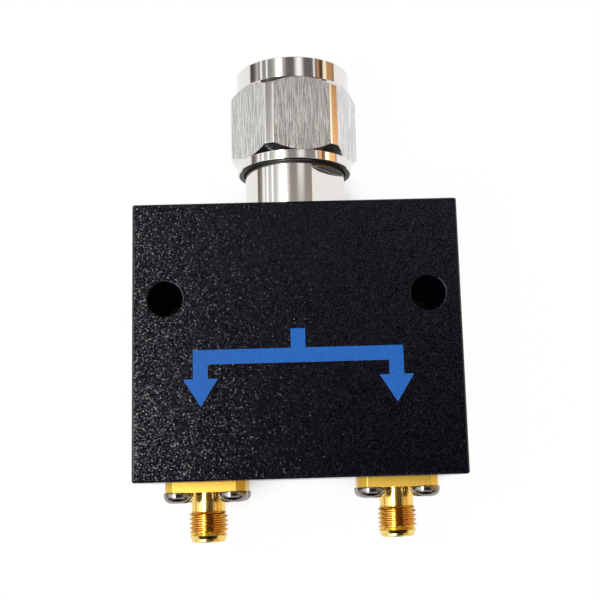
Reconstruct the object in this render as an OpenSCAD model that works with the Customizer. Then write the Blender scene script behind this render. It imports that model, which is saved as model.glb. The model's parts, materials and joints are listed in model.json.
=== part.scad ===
// Two-way coaxial power splitter: one male plug with a coupling nut, two threaded jacks.
// It lies on its rear cover. +Z points out of the front face and +Y along the plug.
// The origin is midway between the two mounting holes, on the plane of the back.

/* [Body] */
// Width of the block, across the mounting holes
body_w = 52; // [50:0.5:70]
// Height of the block, from the jack face to the plug face
body_h = 44; // [42:0.5:60]
// Thickness of the block with its rear cover
body_t = 22; // [22:0.5:30]
// Thickness of the rear cover
cover_t = 2; // [1.6:0.1:3]
// Chamfer along the outer edges of the block and the cover
edge_break = 0.3; // [0.1:0.05:0.5]
// Thickness of the walls that carry the plug and the jacks
end_wall = 6; // [5.5:0.25:8]
// Distance from a jack's axis to the side of the circuit pocket
pocket_margin = 1.5; // [1.2:0.1:2]
// Corner radius of the circuit pocket
pocket_corner = 2; // [1:0.25:3]

/* [Mounting holes] */
// Diameter of the two through holes
hole_d = 5.5; // [4.3:0.1:6]
// Distance from a hole's axis to the side of the block
hole_inset = 5.2; // [4.8:0.1:6]
// Height of the holes above the jack face
hole_height = 28.5; // [24:0.5:32]

/* [Circuit] */
// Thickness of the circuit board
board_t = 0.8; // [0.5:0.1:1.6]
// Thickness of the copper lines
trace_t = 0.1; // [0.05:0.01:0.15]
// Width of the input and output lines
line_w = 1.8; // [1.2:0.1:2.2]
// Width of the two quarter-wave arms
arm_w = 1; // [0.6:0.1:1.4]
// Radius of the ring that the two arms form
ring_r = 7; // [5:0.25:7.5]
// Length of the input line before it splits
feed_len = 5.5; // [4:0.25:7]
// Length of the lines from the ring to the cross lines
stub_len = 4; // [3:0.25:4.5]
// Gap between the two arms, bridged by the resistor
arm_gap = 2; // [1.2:0.1:2.4]
// Length of the chip resistor
resistor_l = 3.2; // [2.8:0.1:4]
// Width of the chip resistor
resistor_w = 1.6; // [1:0.1:2]
// Height of the chip resistor
resistor_h = 0.55; // [0.3:0.05:0.8]

/* [Plug] */
// Diameter of the neck between the block and the nut
neck_d = 16.9; // [16.4:0.1:17.3]
// Length of neck that shows between the block and the nut
neck_len = 7.45; // [5:0.05:10]
// Distance across the two wrench flats on the neck
wrench_flats = 14.6; // [14.2:0.1:16]
// Length of round neck between the wrench flats and the nut
wrench_land = 0.75; // [0.4:0.05:2]
// Angle of a wrench flat, measured from facing the front
wrench_turn = 50.5; // [0:0.5:90]
// Diameter of the spigot that screws into the block
spigot_d = 12; // [10:0.5:13.5]
// Diameter of the barrel that the nut turns on
barrel_d = 15.5; // [15.2:0.1:15.8]
// Length of that barrel, from the neck to the gasket seat
barrel_len = 5.2; // [4.6:0.1:6]
// Outside diameter of the outer contact
sleeve_d = 8.1; // [7.9:0.05:8.3]
// Inside diameter of the outer contact
sleeve_bore_d = 7; // [6.6:0.1:7.2]
// Length of the outer contact in front of the gasket seat
sleeve_len = 8.4; // [7:0.1:9]
// Diameter of the outer contact's root, pressed into the plug body
sleeve_root_d = 9.2; // [8.8:0.1:9.4]
// Depth to which that root is pressed in
sleeve_grip = 5; // [3:0.25:8]
// Number of slots in the outer contact
slot_count = 4; // [2:1:6]
// Width of those slots
slot_w = 0.4; // [0.3:0.05:0.6]
// Depth of those slots
slot_depth = 5; // [3:0.25:6]
// Angle of the first slot, measured from facing sideways
slot_turn = 45; // [0:1:90]
// Diameter of the centre conductor inside the insulator
pin_d = 3.04; // [2.8:0.02:3.2]
// Length of that conductor in front of the gasket seat
pin_shoulder = 4; // [2.5:0.1:4.5]
// Diameter of the centre pin
pin_tip_d = 1.65; // [1.4:0.05:1.8]
// Length of the centre pin
pin_tip_len = 3.6; // [2.5:0.1:4]
// How far the insulator stands in front of the gasket seat
bead_proud = 1; // [0.5:0.1:2]
// Distance from the block's face to the step behind the conductor
pin_root = 1; // [0.5:0.1:2]
// Thickness of the gasket
gasket_t = 1.4; // [1:0.1:1.8]
// Outside diameter of the gasket
gasket_od = 14.4; // [13:0.1:14.6]
// Inside diameter of the gasket
gasket_id = 9.6; // [9.4:0.1:11]
// Depth of the snap ring's groove in the barrel
groove_depth = 0.9; // [0.7:0.05:1.2]
// Wire diameter of the snap ring
wire_d = 1; // [0.8:0.05:1.1]
// Angle that the open snap ring covers
snap_angle = 330; // [300:5:345]

/* [Coupling nut] */
// Length of the nut
nut_len = 17.75; // [16.5:0.25:20]
// Distance across the flats
nut_flats = 19.5; // [19:0.1:20]
// Diameter to which the six corners are turned
nut_corner_d = 21.66; // [21:0.02:21.9]
// Diameter of the plain rings at both ends
nut_ring_d = 19.4; // [18.8:0.1:19.8]
// Length of the ring at the mouth
front_ring_len = 3.5; // [2.5:0.1:4.5]
// Length of the ring towards the block
rear_ring_len = 1.6; // [1.2:0.1:2.5]
// Angle by which the nut is turned from square
nut_turn = 9; // [0:1:59]
// Outside diameter of the thread in the mouth
mouth_d = 15.95; // [15.9:0.05:16.1]
// Diameter of the plain entry in front of the thread
entry_d = 16.6; // [16.4:0.1:17.2]
// Depth of that entry
entry_depth = 1.6; // [1.2:0.1:2]
// Depth of the counterbore that takes the neck
collar_depth = 2.2; // [1.8:0.1:3]
// Length of the thread relief behind the mouth
relief_len = 1.3; // [1:0.1:1.6]
// Diameter of the thread relief
relief_d = 16.4; // [16.2:0.1:16.8]

/* [Jacks] */
// Distance from a jack's axis to the side of the block
jack_inset = 10.7; // [10.2:0.1:13]
// Width of the square flange
flange_w = 12.7; // [12.3:0.1:13.2]
// Thickness of the flange
flange_t = 1.65; // [1.4:0.05:2]
// Cut at the flange's corners
flange_corner = 1.35; // [0.5:0.05:1.5]
// Distance between the flange's screws
flange_pitch = 8.64; // [8.4:0.02:8.8]
// Outside diameter of the thread
jack_thread_d = 6.35; // [6.2:0.05:6.5]
// Diameter of the plain neck and of the pilot
jack_neck_d = 5.5; // [5.2:0.05:5.6]
// Length of the plain neck
jack_neck_len = 2.95; // [2:0.05:4]
// Length of the thread
jack_thread_len = 4; // [3:0.1:6]
// Length of the pilot in front of the thread
jack_pilot_len = 0.95; // [0.8:0.05:2]
// Bore of the socket
socket_d = 4.6; // [4.5:0.05:4.8]
// Depth of the socket
socket_depth = 1.9; // [1.5:0.1:2.4]
// Diameter of the insulator
insulator_d = 4.1; // [3.9:0.05:4.2]
// Diameter of the contact, and of the tails soldered to the board
contact_d = 1.27; // [1.1:0.01:1.4]
// Bore of the contact
contact_bore_d = 0.94; // [0.8:0.02:1]
// Depth of the contact's bore
contact_bore_depth = 2.5; // [1.5:0.1:3]
// Length of the tails inside the circuit pocket
tail_len = 3; // [2:0.25:3.5]

/* [Screws] */
// Shank diameter of the flange screws
flange_screw_d = 2.5; // [2:0.1:2.6]
// Head diameter of the flange screws
flange_head_d = 4.7; // [4.2:0.1:5]
// Head height of the flange screws
flange_head_h = 1.65; // [1.2:0.05:1.9]
// Length of the flange screws under the head
flange_screw_len = 6.5; // [5:0.25:7]
// Shank diameter of the cover screws
cover_screw_d = 2; // [1.6:0.1:2.5]
// Head diameter of the cover screws
cover_head_d = 3.8; // [3.4:0.1:4.4]
// Length of the cover screws
cover_screw_len = 8; // [6:0.5:10]
// How far the heads of the cover screws lie below the back
cover_screw_sink = 0.1; // [0.05:0.05:0.3]
// Distance of the cover screws from the block's edges
cover_screw_inset = 3.2; // [2.8:0.1:3.6]
// Shank diameter of the board screws
board_screw_d = 2; // [1.6:0.1:2.2]
// Head diameter of the board screws
board_head_d = 3.5; // [3.2:0.1:4]
// Head height of the board screws
board_head_h = 1.3; // [1:0.1:1.6]
// Length of the board screws under the head
board_screw_len = 5; // [3.5:0.25:6]

/* [Fits] */
// Radial play between the nut and its barrel
nut_play = 0.1; // [0.08:0.01:0.2]
// Radial gap between the neck and the nut's counterbore
collar_gap = 0.21; // [0.15:0.01:0.4]
// Play of the nut along its axis
nut_end_play = 0.3; // [0.2:0.05:0.5]
// Radial play of screws and of the spigot in their holes
screw_play = 0.05; // [0.03:0.01:0.15]
// Gap at pressed and soldered joints
press_gap = 0.02; // [0.01:0.005:0.05]
// Gap between the board's edges and the pocket
board_gap = 0.2; // [0.1:0.05:0.3]

/* [Hidden] */
$fn = 96;
past = 1; // how far a cut runs past the face that it opens
small_break = 0.2; // chamfer at the ends of turned pieces
drill_spare = 0.5; // depth of a screw hole beyond the screw
recess_span = 0.56; // length of a cross recess, as a share of its screw head
recess_w = 0.15; // width of a cross recess, as a share of its screw head
recess_depth = 0.6; // depth of a cross recess, as a share of the head's height
pan_round = 0.75; // rounding of a pan head, as a share of its height

coat = "#1d1d21";
steel = "#cbc8c3";
gold = "#dba63a";
ptfe = "#f3f1ea";
laminate = "#e6dfc6";
copper = "#b9733a";
chip = "#2a2826";
silicone = "#b4452c";

// The block and its pocket
jack_y = -hole_height;
plug_y = body_h - hole_height;
axis_z = body_t / 2;
jack_spacing = body_w - 2 * jack_inset;
pocket_w = jack_spacing + 2 * pocket_margin;
pocket_low = jack_y + end_wall;
pocket_high = plug_y - end_wall;
hole_x = body_w / 2 - hole_inset;

// The circuit: tails lie under the lines, the board is on the pocket's floor
trace_z = axis_z + contact_d / 2 + press_gap;
board_z = trace_z + trace_t;
floor_z = board_z + board_t;
ring_y = pocket_high - feed_len - ring_r;
cross_y = ring_y - ring_r - stub_len;
board_w = pocket_w - 2 * board_gap;
board_low = pocket_low + board_gap;
board_high = pocket_high - board_gap;
board_screw_xy = [
    for (side = [-1, 1], at = [[board_w / 2 - board_head_d, board_high - board_head_d],
                               [jack_spacing / 4, (cross_y + pocket_low) / 2]])
        [side * at.x, at.y]
];

// Screws of the rear cover: corners, and halfway between the holes and the jack corners
cover_screw_x = body_w / 2 - cover_screw_inset;
cover_screw_low = jack_y + cover_screw_inset;
cover_screw_xy = [
    for (side = [-1, 1], y = [plug_y - cover_screw_inset, cover_screw_low / 2, cover_screw_low])
        [side * cover_screw_x, y]
];

// Levels along the plug, measured from the plug face of the block
shoulder_s = neck_len + collar_depth - nut_end_play;
seat_s = shoulder_s + barrel_len;
groove_s = shoulder_s + barrel_len / 2;
sleeve_s = seat_s + sleeve_len;
sleeve_root_s = seat_s - sleeve_grip;
pin_step_s = seat_s + pin_shoulder;
pin_end_s = pin_step_s + pin_tip_len;
groove_w = wire_d + 2 * nut_play;
snap_r = barrel_d / 2;

// Levels along a jack, measured from the back of its flange
jack_thread_s = flange_t + jack_neck_len;
jack_pilot_s = jack_thread_s + jack_thread_len;
jack_end_s = jack_pilot_s + jack_pilot_len;
socket_s = jack_end_s - socket_depth;

// Rectangle with cut corners, centred on the origin
module eased_rectangle(w, h, cut) {
    polygon([for (q = [[1, 1], [-1, 1], [-1, -1], [1, -1]], first = [true, false])
        let (along_x = (q.x * q.y > 0) != first)
            [q.x * (w / 2 - (along_x ? cut : 0)), q.y * (h / 2 - (along_x ? 0 : cut))]]);
}

// Block on z = 0 with every outer edge chamfered
module eased_block(w, h, t, cut) {
    intersection() {
        linear_extrude(t) eased_rectangle(w, h, cut);
        translate([0, 0, t / 2]) rotate([90, 0, 0])
            linear_extrude(h, center = true) eased_rectangle(w, t, cut);
        translate([0, 0, t / 2]) rotate([90, 0, 90])
            linear_extrude(w, center = true) eased_rectangle(h, t, cut);
    }
}

// Places a turned piece on the plug's axis, with its z along +Y from the plug face
module on_plug_axis() translate([0, plug_y, axis_z]) rotate([-90, 0, 0]) children();

// Places a turned piece on a jack's axis, with its z along -Y from the jack face
module on_jack_axis(side) translate([side * jack_spacing / 2, jack_y, axis_z]) rotate([90, 0, 0]) children();

// The same four screw places round both jack axes
module at_flange_screws() {
    for (side = [-1, 1], i = [-1, 1], j = [-1, 1])
        on_jack_axis(side) translate([i * flange_pitch / 2, j * flange_pitch / 2, 0]) children();
}

module turned(profile) rotate_extrude() polygon(profile);

// Cross recess, cut down from z = 0
module cross_recess(head_d, depth) {
    for (turn = [0, 90])
        rotate(turn) translate([-head_d * recess_span / 2, -head_d * recess_w / 2, -depth])
            cube([head_d * recess_span, head_d * recess_w, depth + past]);
}

// Screw with a rounded pan head: the head stands on z = 0, the shank goes down
module pan_screw(d, len, head_d, head_h) {
    round_r = head_h * pan_round;
    difference() {
        union() {
            rotate_extrude() {
                square([head_d / 2 - round_r, head_h]);
                square([head_d / 2, head_h - round_r]);
                translate([head_d / 2 - round_r, head_h - round_r])
                    intersection() {
                        circle(round_r);
                        square(round_r);
                    }
            }
            translate([0, 0, -len]) cylinder(d = d, h = len + past / 2);
        }
        translate([0, 0, head_h]) cross_recess(head_d, head_h * recess_depth);
    }
}

module mounting_holes() {
    for (side = [-1, 1])
        translate([side * hole_x, 0, -past]) cylinder(d = hole_d, h = body_t + 2 * past);
}

// Milled from behind, with round corners left by the cutter
module circuit_pocket() {
    x = pocket_w / 2 - pocket_corner;
    translate([0, 0, cover_t - past]) linear_extrude(floor_z - cover_t + past) {
        translate([-x, pocket_low]) square([2 * x, pocket_high - pocket_low]);
        translate([-pocket_w / 2, pocket_low + pocket_corner])
            square([pocket_w, pocket_high - pocket_low - 2 * pocket_corner]);
        for (side = [-1, 1], y = [pocket_low + pocket_corner, pocket_high - pocket_corner])
            translate([side * x, y]) circle(pocket_corner);
    }
}

module housing() {
    color(coat) difference() {
        translate([0, plug_y - body_h / 2, cover_t])
            eased_block(body_w, body_h, body_t - cover_t, edge_break);
        circuit_pocket();
        mounting_holes();
        on_plug_axis() translate([0, 0, -end_wall - past])
            cylinder(d = spigot_d + 2 * screw_play, h = end_wall + 2 * past);
        for (side = [-1, 1])
            on_jack_axis(side) translate([0, 0, -end_wall - past])
                cylinder(d = insulator_d + 2 * screw_play, h = end_wall + 2 * past);
        at_flange_screws() translate([0, 0, flange_t - flange_screw_len - drill_spare])
            cylinder(d = flange_screw_d + 2 * screw_play, h = flange_screw_len + drill_spare + past);
        for (at = cover_screw_xy)
            translate([at.x, at.y, 0])
                cylinder(d = cover_screw_d + 2 * screw_play,
                         h = cover_screw_sink + cover_screw_len + drill_spare);
        for (at = board_screw_xy)
            translate([at.x, at.y, floor_z - past])
                cylinder(d = board_screw_d + 2 * screw_play,
                         h = board_screw_len - board_t + drill_spare + past);
    }
}

module rear_cover() {
    bore = cover_screw_d + 2 * screw_play;
    cone_h = (cover_head_d - cover_screw_d) / 2 + cover_screw_sink + past;
    color(coat) difference() {
        translate([0, plug_y - body_h / 2, 0]) eased_block(body_w, body_h, cover_t, edge_break);
        mounting_holes();
        for (at = cover_screw_xy)
            translate([at.x, at.y, 0]) {
                translate([0, 0, -past]) cylinder(d = bore, h = cover_t + 2 * past);
                translate([0, 0, -past]) cylinder(d1 = bore + 2 * cone_h, d2 = bore, h = cone_h);
            }
    }
}

// Countersunk screws, a little below the back
module cover_screws() {
    head_h = (cover_head_d - cover_screw_d) / 2;
    color(steel) for (at = cover_screw_xy)
        translate([at.x, at.y, cover_screw_sink]) difference() {
            turned([[0, 0], [cover_head_d / 2, 0], [cover_screw_d / 2, head_h],
                    [cover_screw_d / 2, cover_screw_len], [0, cover_screw_len]]);
            mirror([0, 0, 1]) cross_recess(cover_head_d, head_h * recess_depth);
        }
}

module circuit_board() {
    color(laminate) difference() {
        translate([0, (board_low + board_high) / 2, board_z]) linear_extrude(board_t)
            eased_rectangle(board_w, board_high - board_low, pocket_corner);
        for (at = board_screw_xy)
            translate([at.x, at.y, board_z - past])
                cylinder(d = board_screw_d + 2 * screw_play, h = board_t + 2 * past);
    }
}

// One input line, a ring of two arms, and a line to each jack
module microstrip_trace() {
    color(copper) translate([0, 0, trace_z]) linear_extrude(trace_t) {
        difference() {
            union() {
                translate([0, ring_y]) circle(ring_r + arm_w / 2);
                translate([-line_w / 2, ring_y + ring_r])
                    square([line_w, board_high - ring_y - ring_r]);
                for (side = [-1, 1])
                    translate([side * (arm_gap + line_w) / 2 - line_w / 2, cross_y])
                        square([line_w, stub_len + arm_w]);
            }
            translate([0, ring_y]) circle(ring_r - arm_w / 2);
            translate([-arm_gap / 2, cross_y - past])
                square([arm_gap, ring_y - cross_y]);
        }
        for (side = [-1, 1]) {
            x = jack_spacing / 2;
            translate([side > 0 ? arm_gap / 2 : -x - line_w / 2, cross_y - line_w / 2])
                square([x + line_w / 2 - arm_gap / 2, line_w]);
            translate([side * x - line_w / 2, board_low])
                square([line_w, cross_y - board_low]);
        }
    }
}

// Chip across the gap between the two arms
module isolation_resistor() {
    color(chip) translate([-resistor_l / 2, ring_y - ring_r - resistor_w, trace_z - resistor_h])
        cube([resistor_l, resistor_w, resistor_h]);
}

module board_screws() {
    color(steel) for (at = board_screw_xy)
        translate([at.x, at.y, board_z]) mirror([0, 0, 1])
            pan_screw(board_screw_d, board_screw_len, board_head_d, board_head_h);
}

// Turned in one piece: spigot, neck with wrench flats, barrel with the ring groove
module plug_body() {
    bore = sleeve_bore_d / 2;
    seat = sleeve_root_d / 2 + press_gap;
    tail_bore = insulator_d / 2;
    groove = [groove_s - groove_w / 2, groove_s + groove_w / 2];
    groove_r = barrel_d / 2 - groove_depth;
    color(steel) on_plug_axis() difference() {
        turned([[tail_bore, -end_wall], [spigot_d / 2 - small_break, -end_wall],
                [spigot_d / 2, small_break - end_wall], [spigot_d / 2, 0],
                [neck_d / 2, 0], [neck_d / 2, shoulder_s], [barrel_d / 2, shoulder_s],
                [barrel_d / 2, groove[0]], [groove_r, groove[0]], [groove_r, groove[1]],
                [barrel_d / 2, groove[1]], [barrel_d / 2, seat_s], [seat, seat_s],
                [seat, sleeve_root_s], [bore, sleeve_root_s], [bore, 0], [tail_bore, 0]]);
        for (opposite = [0, 180])
            rotate(wrench_turn - 90 + opposite) translate([wrench_flats / 2, -neck_d / 2, -past])
                cube([neck_d, neck_d, neck_len - wrench_land + past]);
    }
}

// Slotted spring sleeve, pressed into the plug body
module outer_contact() {
    bore = sleeve_bore_d / 2;
    color(gold) on_plug_axis() difference() {
        turned([[bore, sleeve_root_s], [sleeve_root_d / 2, sleeve_root_s], [sleeve_root_d / 2, seat_s],
                [sleeve_d / 2, seat_s], [sleeve_d / 2, sleeve_s - small_break],
                [sleeve_d / 2 - small_break, sleeve_s], [bore, sleeve_s]]);
        for (i = [0 : slot_count - 1])
            rotate(slot_turn + i * 360 / slot_count) translate([0, -slot_w / 2, sleeve_s - slot_depth])
                cube([sleeve_d, slot_w, slot_depth + past]);
    }
}

module plug_insulator() {
    color(ptfe) on_plug_axis()
        turned([[contact_d / 2 + press_gap, -end_wall], [insulator_d / 2 - press_gap, -end_wall],
                [insulator_d / 2 - press_gap, press_gap], [sleeve_bore_d / 2 - press_gap, press_gap],
                [sleeve_bore_d / 2 - press_gap, seat_s + bead_proud],
                [pin_d / 2 + press_gap, seat_s + bead_proud],
                [pin_d / 2 + press_gap, pin_root], [contact_d / 2 + press_gap, pin_root]]);
}

// Tail, conductor and tip of the centre contact
module plug_pin() {
    tip = pin_tip_d / 2;
    color(gold) on_plug_axis()
        turned([[0, -end_wall - tail_len], [contact_d / 2, -end_wall - tail_len],
                [contact_d / 2, pin_root + press_gap], [pin_d / 2, pin_root + press_gap],
                [pin_d / 2, pin_step_s], [tip, pin_step_s], [tip, pin_end_s - tip],
                [tip / 2, pin_end_s], [0, pin_end_s]]);
}

module plug_gasket() {
    color(silicone) on_plug_axis() translate([0, 0, seat_s]) difference() {
        cylinder(d = gasket_od, h = gasket_t);
        translate([0, 0, -past]) cylinder(d = gasket_id, h = gasket_t + 2 * past);
    }
}

module snap_ring() {
    color(steel) on_plug_axis() translate([0, 0, groove_s])
        rotate_extrude(angle = snap_angle) translate([snap_r, 0]) circle(d = wire_d);
}

// Hexagon with turned corners and rings at both ends, bored from behind and threaded in front.
// The thread is drawn as a bore of its outside diameter.
module coupling_nut() {
    ring = nut_ring_d / 2;
    corner = nut_corner_d / 2;
    lead = corner - ring;
    hex_end = nut_len - front_ring_len;
    collar = neck_d / 2 + collar_gap;
    bore = barrel_d / 2 + nut_play;
    groove = [for (k = [-1, 1]) groove_s + k * groove_w / 2 - neck_len];
    groove_r = snap_r + wire_d / 2 + nut_play;
    bore_end = seat_s - neck_len + nut_play;
    mouth = mouth_d / 2;
    entry = entry_d / 2;
    color(steel) on_plug_axis() translate([0, 0, neck_len]) difference() {
        union() {
            turned([[0, 0], [ring - small_break, 0], [ring, small_break], [ring, nut_len - small_break],
                    [ring - small_break, nut_len], [0, nut_len]]);
            intersection() {
                rotate(nut_turn) cylinder(d = nut_flats / cos(30), h = nut_len, $fn = 6);
                turned([[0, rear_ring_len - small_break], [ring - small_break, rear_ring_len - small_break],
                        [corner, rear_ring_len + lead], [corner, hex_end - lead],
                        [ring - small_break, hex_end + small_break], [0, hex_end + small_break]]);
            }
        }
        turned([[0, -past], [collar, -past], [collar, collar_depth], [bore, collar_depth],
                [bore, groove[0]], [groove_r, groove[0]], [groove_r, groove[1]], [bore, groove[1]],
                [bore, bore_end], [relief_d / 2, bore_end], [relief_d / 2, bore_end + relief_len],
                [mouth, bore_end + relief_len + relief_d / 2 - mouth], [mouth, nut_len - entry_depth],
                [entry, nut_len - entry_depth], [entry, nut_len - small_break],
                [entry + small_break, nut_len], [entry + small_break, nut_len + past],
                [0, nut_len + past]]);
    }
}

// Square flange and barrel in one piece. The thread is drawn as a cylinder of its outside diameter.
module jack_body(side) {
    neck = jack_neck_d / 2;
    thread = jack_thread_d / 2;
    lead = thread - neck;
    color(gold) on_jack_axis(side) difference() {
        union() {
            linear_extrude(flange_t) eased_rectangle(flange_w, flange_w, flange_corner);
            turned([[0, 0], [neck, 0], [neck, jack_thread_s], [thread, jack_thread_s],
                    [thread, jack_pilot_s - lead], [neck, jack_pilot_s],
                    [neck, jack_end_s - small_break], [neck - small_break, jack_end_s], [0, jack_end_s]]);
        }
        translate([0, 0, -past]) cylinder(d = insulator_d, h = jack_end_s + 2 * past);
        translate([0, 0, socket_s]) cylinder(d = socket_d, h = socket_depth + past);
        for (i = [-1, 1], j = [-1, 1])
            translate([i * flange_pitch / 2, j * flange_pitch / 2, -past])
                cylinder(d = flange_screw_d + 2 * screw_play, h = flange_t + 2 * past);
    }
}

module jack_insulator(side) {
    color(ptfe) on_jack_axis(side) translate([0, 0, -end_wall]) difference() {
        cylinder(d = insulator_d - 2 * press_gap, h = end_wall + socket_s);
        translate([0, 0, -past]) cylinder(d = contact_d + 2 * press_gap, h = end_wall + socket_s + 2 * past);
    }
}

// Tail on the board, socket for the mating pin
module jack_contact(side) {
    color(gold) on_jack_axis(side) translate([0, 0, -end_wall - tail_len]) difference() {
        cylinder(d = contact_d, h = tail_len + end_wall + socket_s);
        translate([0, 0, tail_len + end_wall + socket_s - contact_bore_depth])
            cylinder(d = contact_bore_d, h = contact_bore_depth + past);
    }
}

module flange_screws() {
    color(steel) at_flange_screws() translate([0, 0, flange_t])
        pan_screw(flange_screw_d, flange_screw_len, flange_head_d, flange_head_h);
}

housing();
rear_cover();
cover_screws();
circuit_board();
microstrip_trace();
isolation_resistor();
board_screws();
plug_body();
outer_contact();
plug_insulator();
plug_pin();
plug_gasket();
snap_ring();
coupling_nut();
jack_body(-1);  // left_jack_body
jack_body(1);  // right_jack_body
jack_insulator(-1);  // left_jack_insulator
jack_insulator(1);  // right_jack_insulator
jack_contact(-1);  // left_jack_contact
jack_contact(1);  // right_jack_contact
flange_screws();
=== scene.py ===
"""Looks of a two-way coaxial power splitter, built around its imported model.

It lies on its back on a white table: a black powder-coated block, a turned steel plug with a
hexagon coupling nut, and two gold-plated jacks.
"""
import json
import math

import bmesh
import bpy
from mathutils import Matrix, Vector


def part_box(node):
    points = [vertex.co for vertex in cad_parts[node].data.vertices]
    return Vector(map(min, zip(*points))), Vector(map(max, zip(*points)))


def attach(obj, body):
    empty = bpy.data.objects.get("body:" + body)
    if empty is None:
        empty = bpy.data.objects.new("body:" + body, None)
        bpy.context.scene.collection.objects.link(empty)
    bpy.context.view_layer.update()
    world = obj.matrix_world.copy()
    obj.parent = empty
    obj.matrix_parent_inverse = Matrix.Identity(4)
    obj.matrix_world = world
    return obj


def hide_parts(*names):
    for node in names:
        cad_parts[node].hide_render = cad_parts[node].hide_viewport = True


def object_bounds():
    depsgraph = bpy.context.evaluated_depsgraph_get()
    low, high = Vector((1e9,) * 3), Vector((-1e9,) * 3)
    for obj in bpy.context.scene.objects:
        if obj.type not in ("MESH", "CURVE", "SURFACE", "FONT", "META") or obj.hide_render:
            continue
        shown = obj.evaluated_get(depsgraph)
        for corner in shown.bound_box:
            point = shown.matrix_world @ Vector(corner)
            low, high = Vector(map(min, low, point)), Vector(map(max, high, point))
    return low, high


MM = 0.001

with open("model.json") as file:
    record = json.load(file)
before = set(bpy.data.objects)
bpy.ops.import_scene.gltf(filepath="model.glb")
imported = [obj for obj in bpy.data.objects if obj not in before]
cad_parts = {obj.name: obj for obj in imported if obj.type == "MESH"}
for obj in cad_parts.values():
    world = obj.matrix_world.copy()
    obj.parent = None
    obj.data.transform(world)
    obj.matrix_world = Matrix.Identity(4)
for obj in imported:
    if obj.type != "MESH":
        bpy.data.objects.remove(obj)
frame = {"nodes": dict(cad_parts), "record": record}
cad_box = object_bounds()
nodes = frame["nodes"]

# Camera: place, aim and nearest sight in millimetres, lean in degrees, lens and shift as read from the
# photograph
CAMERA_PLACE = (1.88, -29.98, 182.56)
CAMERA_AIM = (5.16, -2.43, 22.0)
CAMERA_LEAN = 1.68
CAMERA_LENS = 62.05
CAMERA_SHIFT = (-0.05, 0.0167)
CAMERA_NEAR = 10

# Places that the frame gives
block_low, block_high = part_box("housing")
nut_low, nut_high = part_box("coupling_nut")
plug_axis = Vector((0, nut_low.y, (nut_low.z + nut_high.z) / 2))
jack_lows = {side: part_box(side + "_jack_body")[0] for side in ("left", "right")}
jack_highs = {side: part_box(side + "_jack_body")[1] for side in ("left", "right")}

# Mesh work, in millimetres: points that are merged, a plane cut's slack, how near a face or an edge counts
# as being at a place, and how far a drill goes past both faces. FLAT is in degrees: faces that are joined
MERGE = 0.0005
CUT = 0.0001
CLOSE = 0.01
PAST = 1
FLAT = 0.5

# How far the grains of the powder coat lean, as a slope
COAT_LEAN = 0.18

# Block, in millimetres: its roundings, how near an edge is to the outside, and how near to a hole's rim. A
# chamfer's edges turn by less than the angle, in degrees
EDGE_ROUND = 0.1
RIM_ROUND = 0.22
EDGE_REACH = 1
RIM_SLACK = 0.05
CHAMFER_UNDER = 60
HOLE_PATTERN = next(m for m in frame["record"]["mounts"] if m["name"] == "mounting_holes")
HOLE_R = HOLE_PATTERN["dims"]["hole_r_mm"]
HOLE_X = HOLE_PATTERN["dims"]["spacing_x_mm"] / 2

# Printed symbol on the block's front, in millimetres, with an arrow head's length as a share of its width
PRINT = {
    "line": 2.3, "top_y": -5.2, "bar_y": -9.4, "drop": 3.4, "head": 5.4, "point": 0.8, "thick": 0.02,
    "sunk": 0.005,
}

# Thread ridge: half widths at its foot and its top, in pitches, how deep it is sunk in its wall, in
# millimetres, and the least share of its height at its ends
RIDGE = {"foot": 0.46, "top": 0.08, "sunk": 0.03, "least": 0.05}

# Coupling nut, in millimetres, with stations measured from its rear end
NUT_LEN = (nut_high.y - nut_low.y) / MM
NUT_RING_R = 9.7
NUT_CORNER_R = 10.83
NUT_FLAT = 9.75
NUT_TURN = 9
NUT_EDGE = 0.2
NUT_BREAK = 0.04
NUT_BREAK_OVER = 15
FRONT_RING = 3.5
REAR_RING = 1.6
COLLAR_R = 8.66
COLLAR_DEPTH = 2.2
NUT_BORE_R = 7.85
BORE_END = 7.2
RING_GROOVE = {"r": 8.35, "start": 3.9, "end": 5.1}
RELIEF_R = 8.2
RELIEF_END = 8.5
ENTRY_R = 8.3
ENTRY_DEPTH = 1.6
NUT_THREAD = {"root": 7.97, "crest": 7.45, "pitch": 1.058}

# Plug body: the end of its neck that the nut shades, the round land past its two wrench flats and its
# broken edges, in millimetres, the flats' angle from straight up, and the cosines of the angle that half a
# flat spans and of the angle within which a shoulder faces the block
# These mark the faces of the plug that are painted dark as shade
PLUG_SHADE = 0.3
PLUG_LAND = 0.75
PLUG_BREAK = 0.06
WRENCH_TURN = 50.5
WRENCH_SPAN = 0.86
SHOULDER_SPAN = 0.9

# Jacks, in millimetres, with stations measured from the back of the flange
FLANGE_T = 1.65
FLANGE_CORNER = 1.35
FLANGE_PITCH = 8.64
FLANGE_HOLE_R = 1.3
FLANGE_BREAK = 0.08
JACK_NECK_R = 2.75
JACK_CORE_R = 2.72
JACK_THREAD = {"root": JACK_CORE_R, "crest": 3.175, "pitch": 0.7056}
JACK_THREAD_START = 4.6
JACK_THREAD_EARLY = 0.1
JACK_THREAD_LEAD = 0.3
JACK_RUN_OUT = 8.5
JACK_RUN_OUT_END = 9.05
JACK_RUN_OUT_LOW = 0.03
JACK_END = (jack_highs["left"].y - jack_lows["left"].y) / MM
JACK_EDGE = 0.2
INSULATOR_R = 2.05
SOCKET_R = 2.3
SOCKET_DEPTH = 1.9

# Broken edges of the screws, in millimetres
SCREW_BREAK = 0.05

# White table, in millimetres: half its width and how far off a piece still shades it. Then the shares of
# open sky between which its shade fades, and how much of it glows where nothing shades it
TABLE = 200
SHADE_REACH = 12
SHADE_FADE = (0.25, 0.45)
PAPER_GLOW = 0.98


def linear(hex_colour):
    """sRGB hex value as linear RGBA."""
    parts = [int(hex_colour[i:i + 2], 16) / 255 for i in (1, 3, 5)]
    return [p / 12.92 if p <= 0.04045 else ((p + 0.055) / 1.055) ** 2.4 for p in parts] + [1.0]


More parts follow.
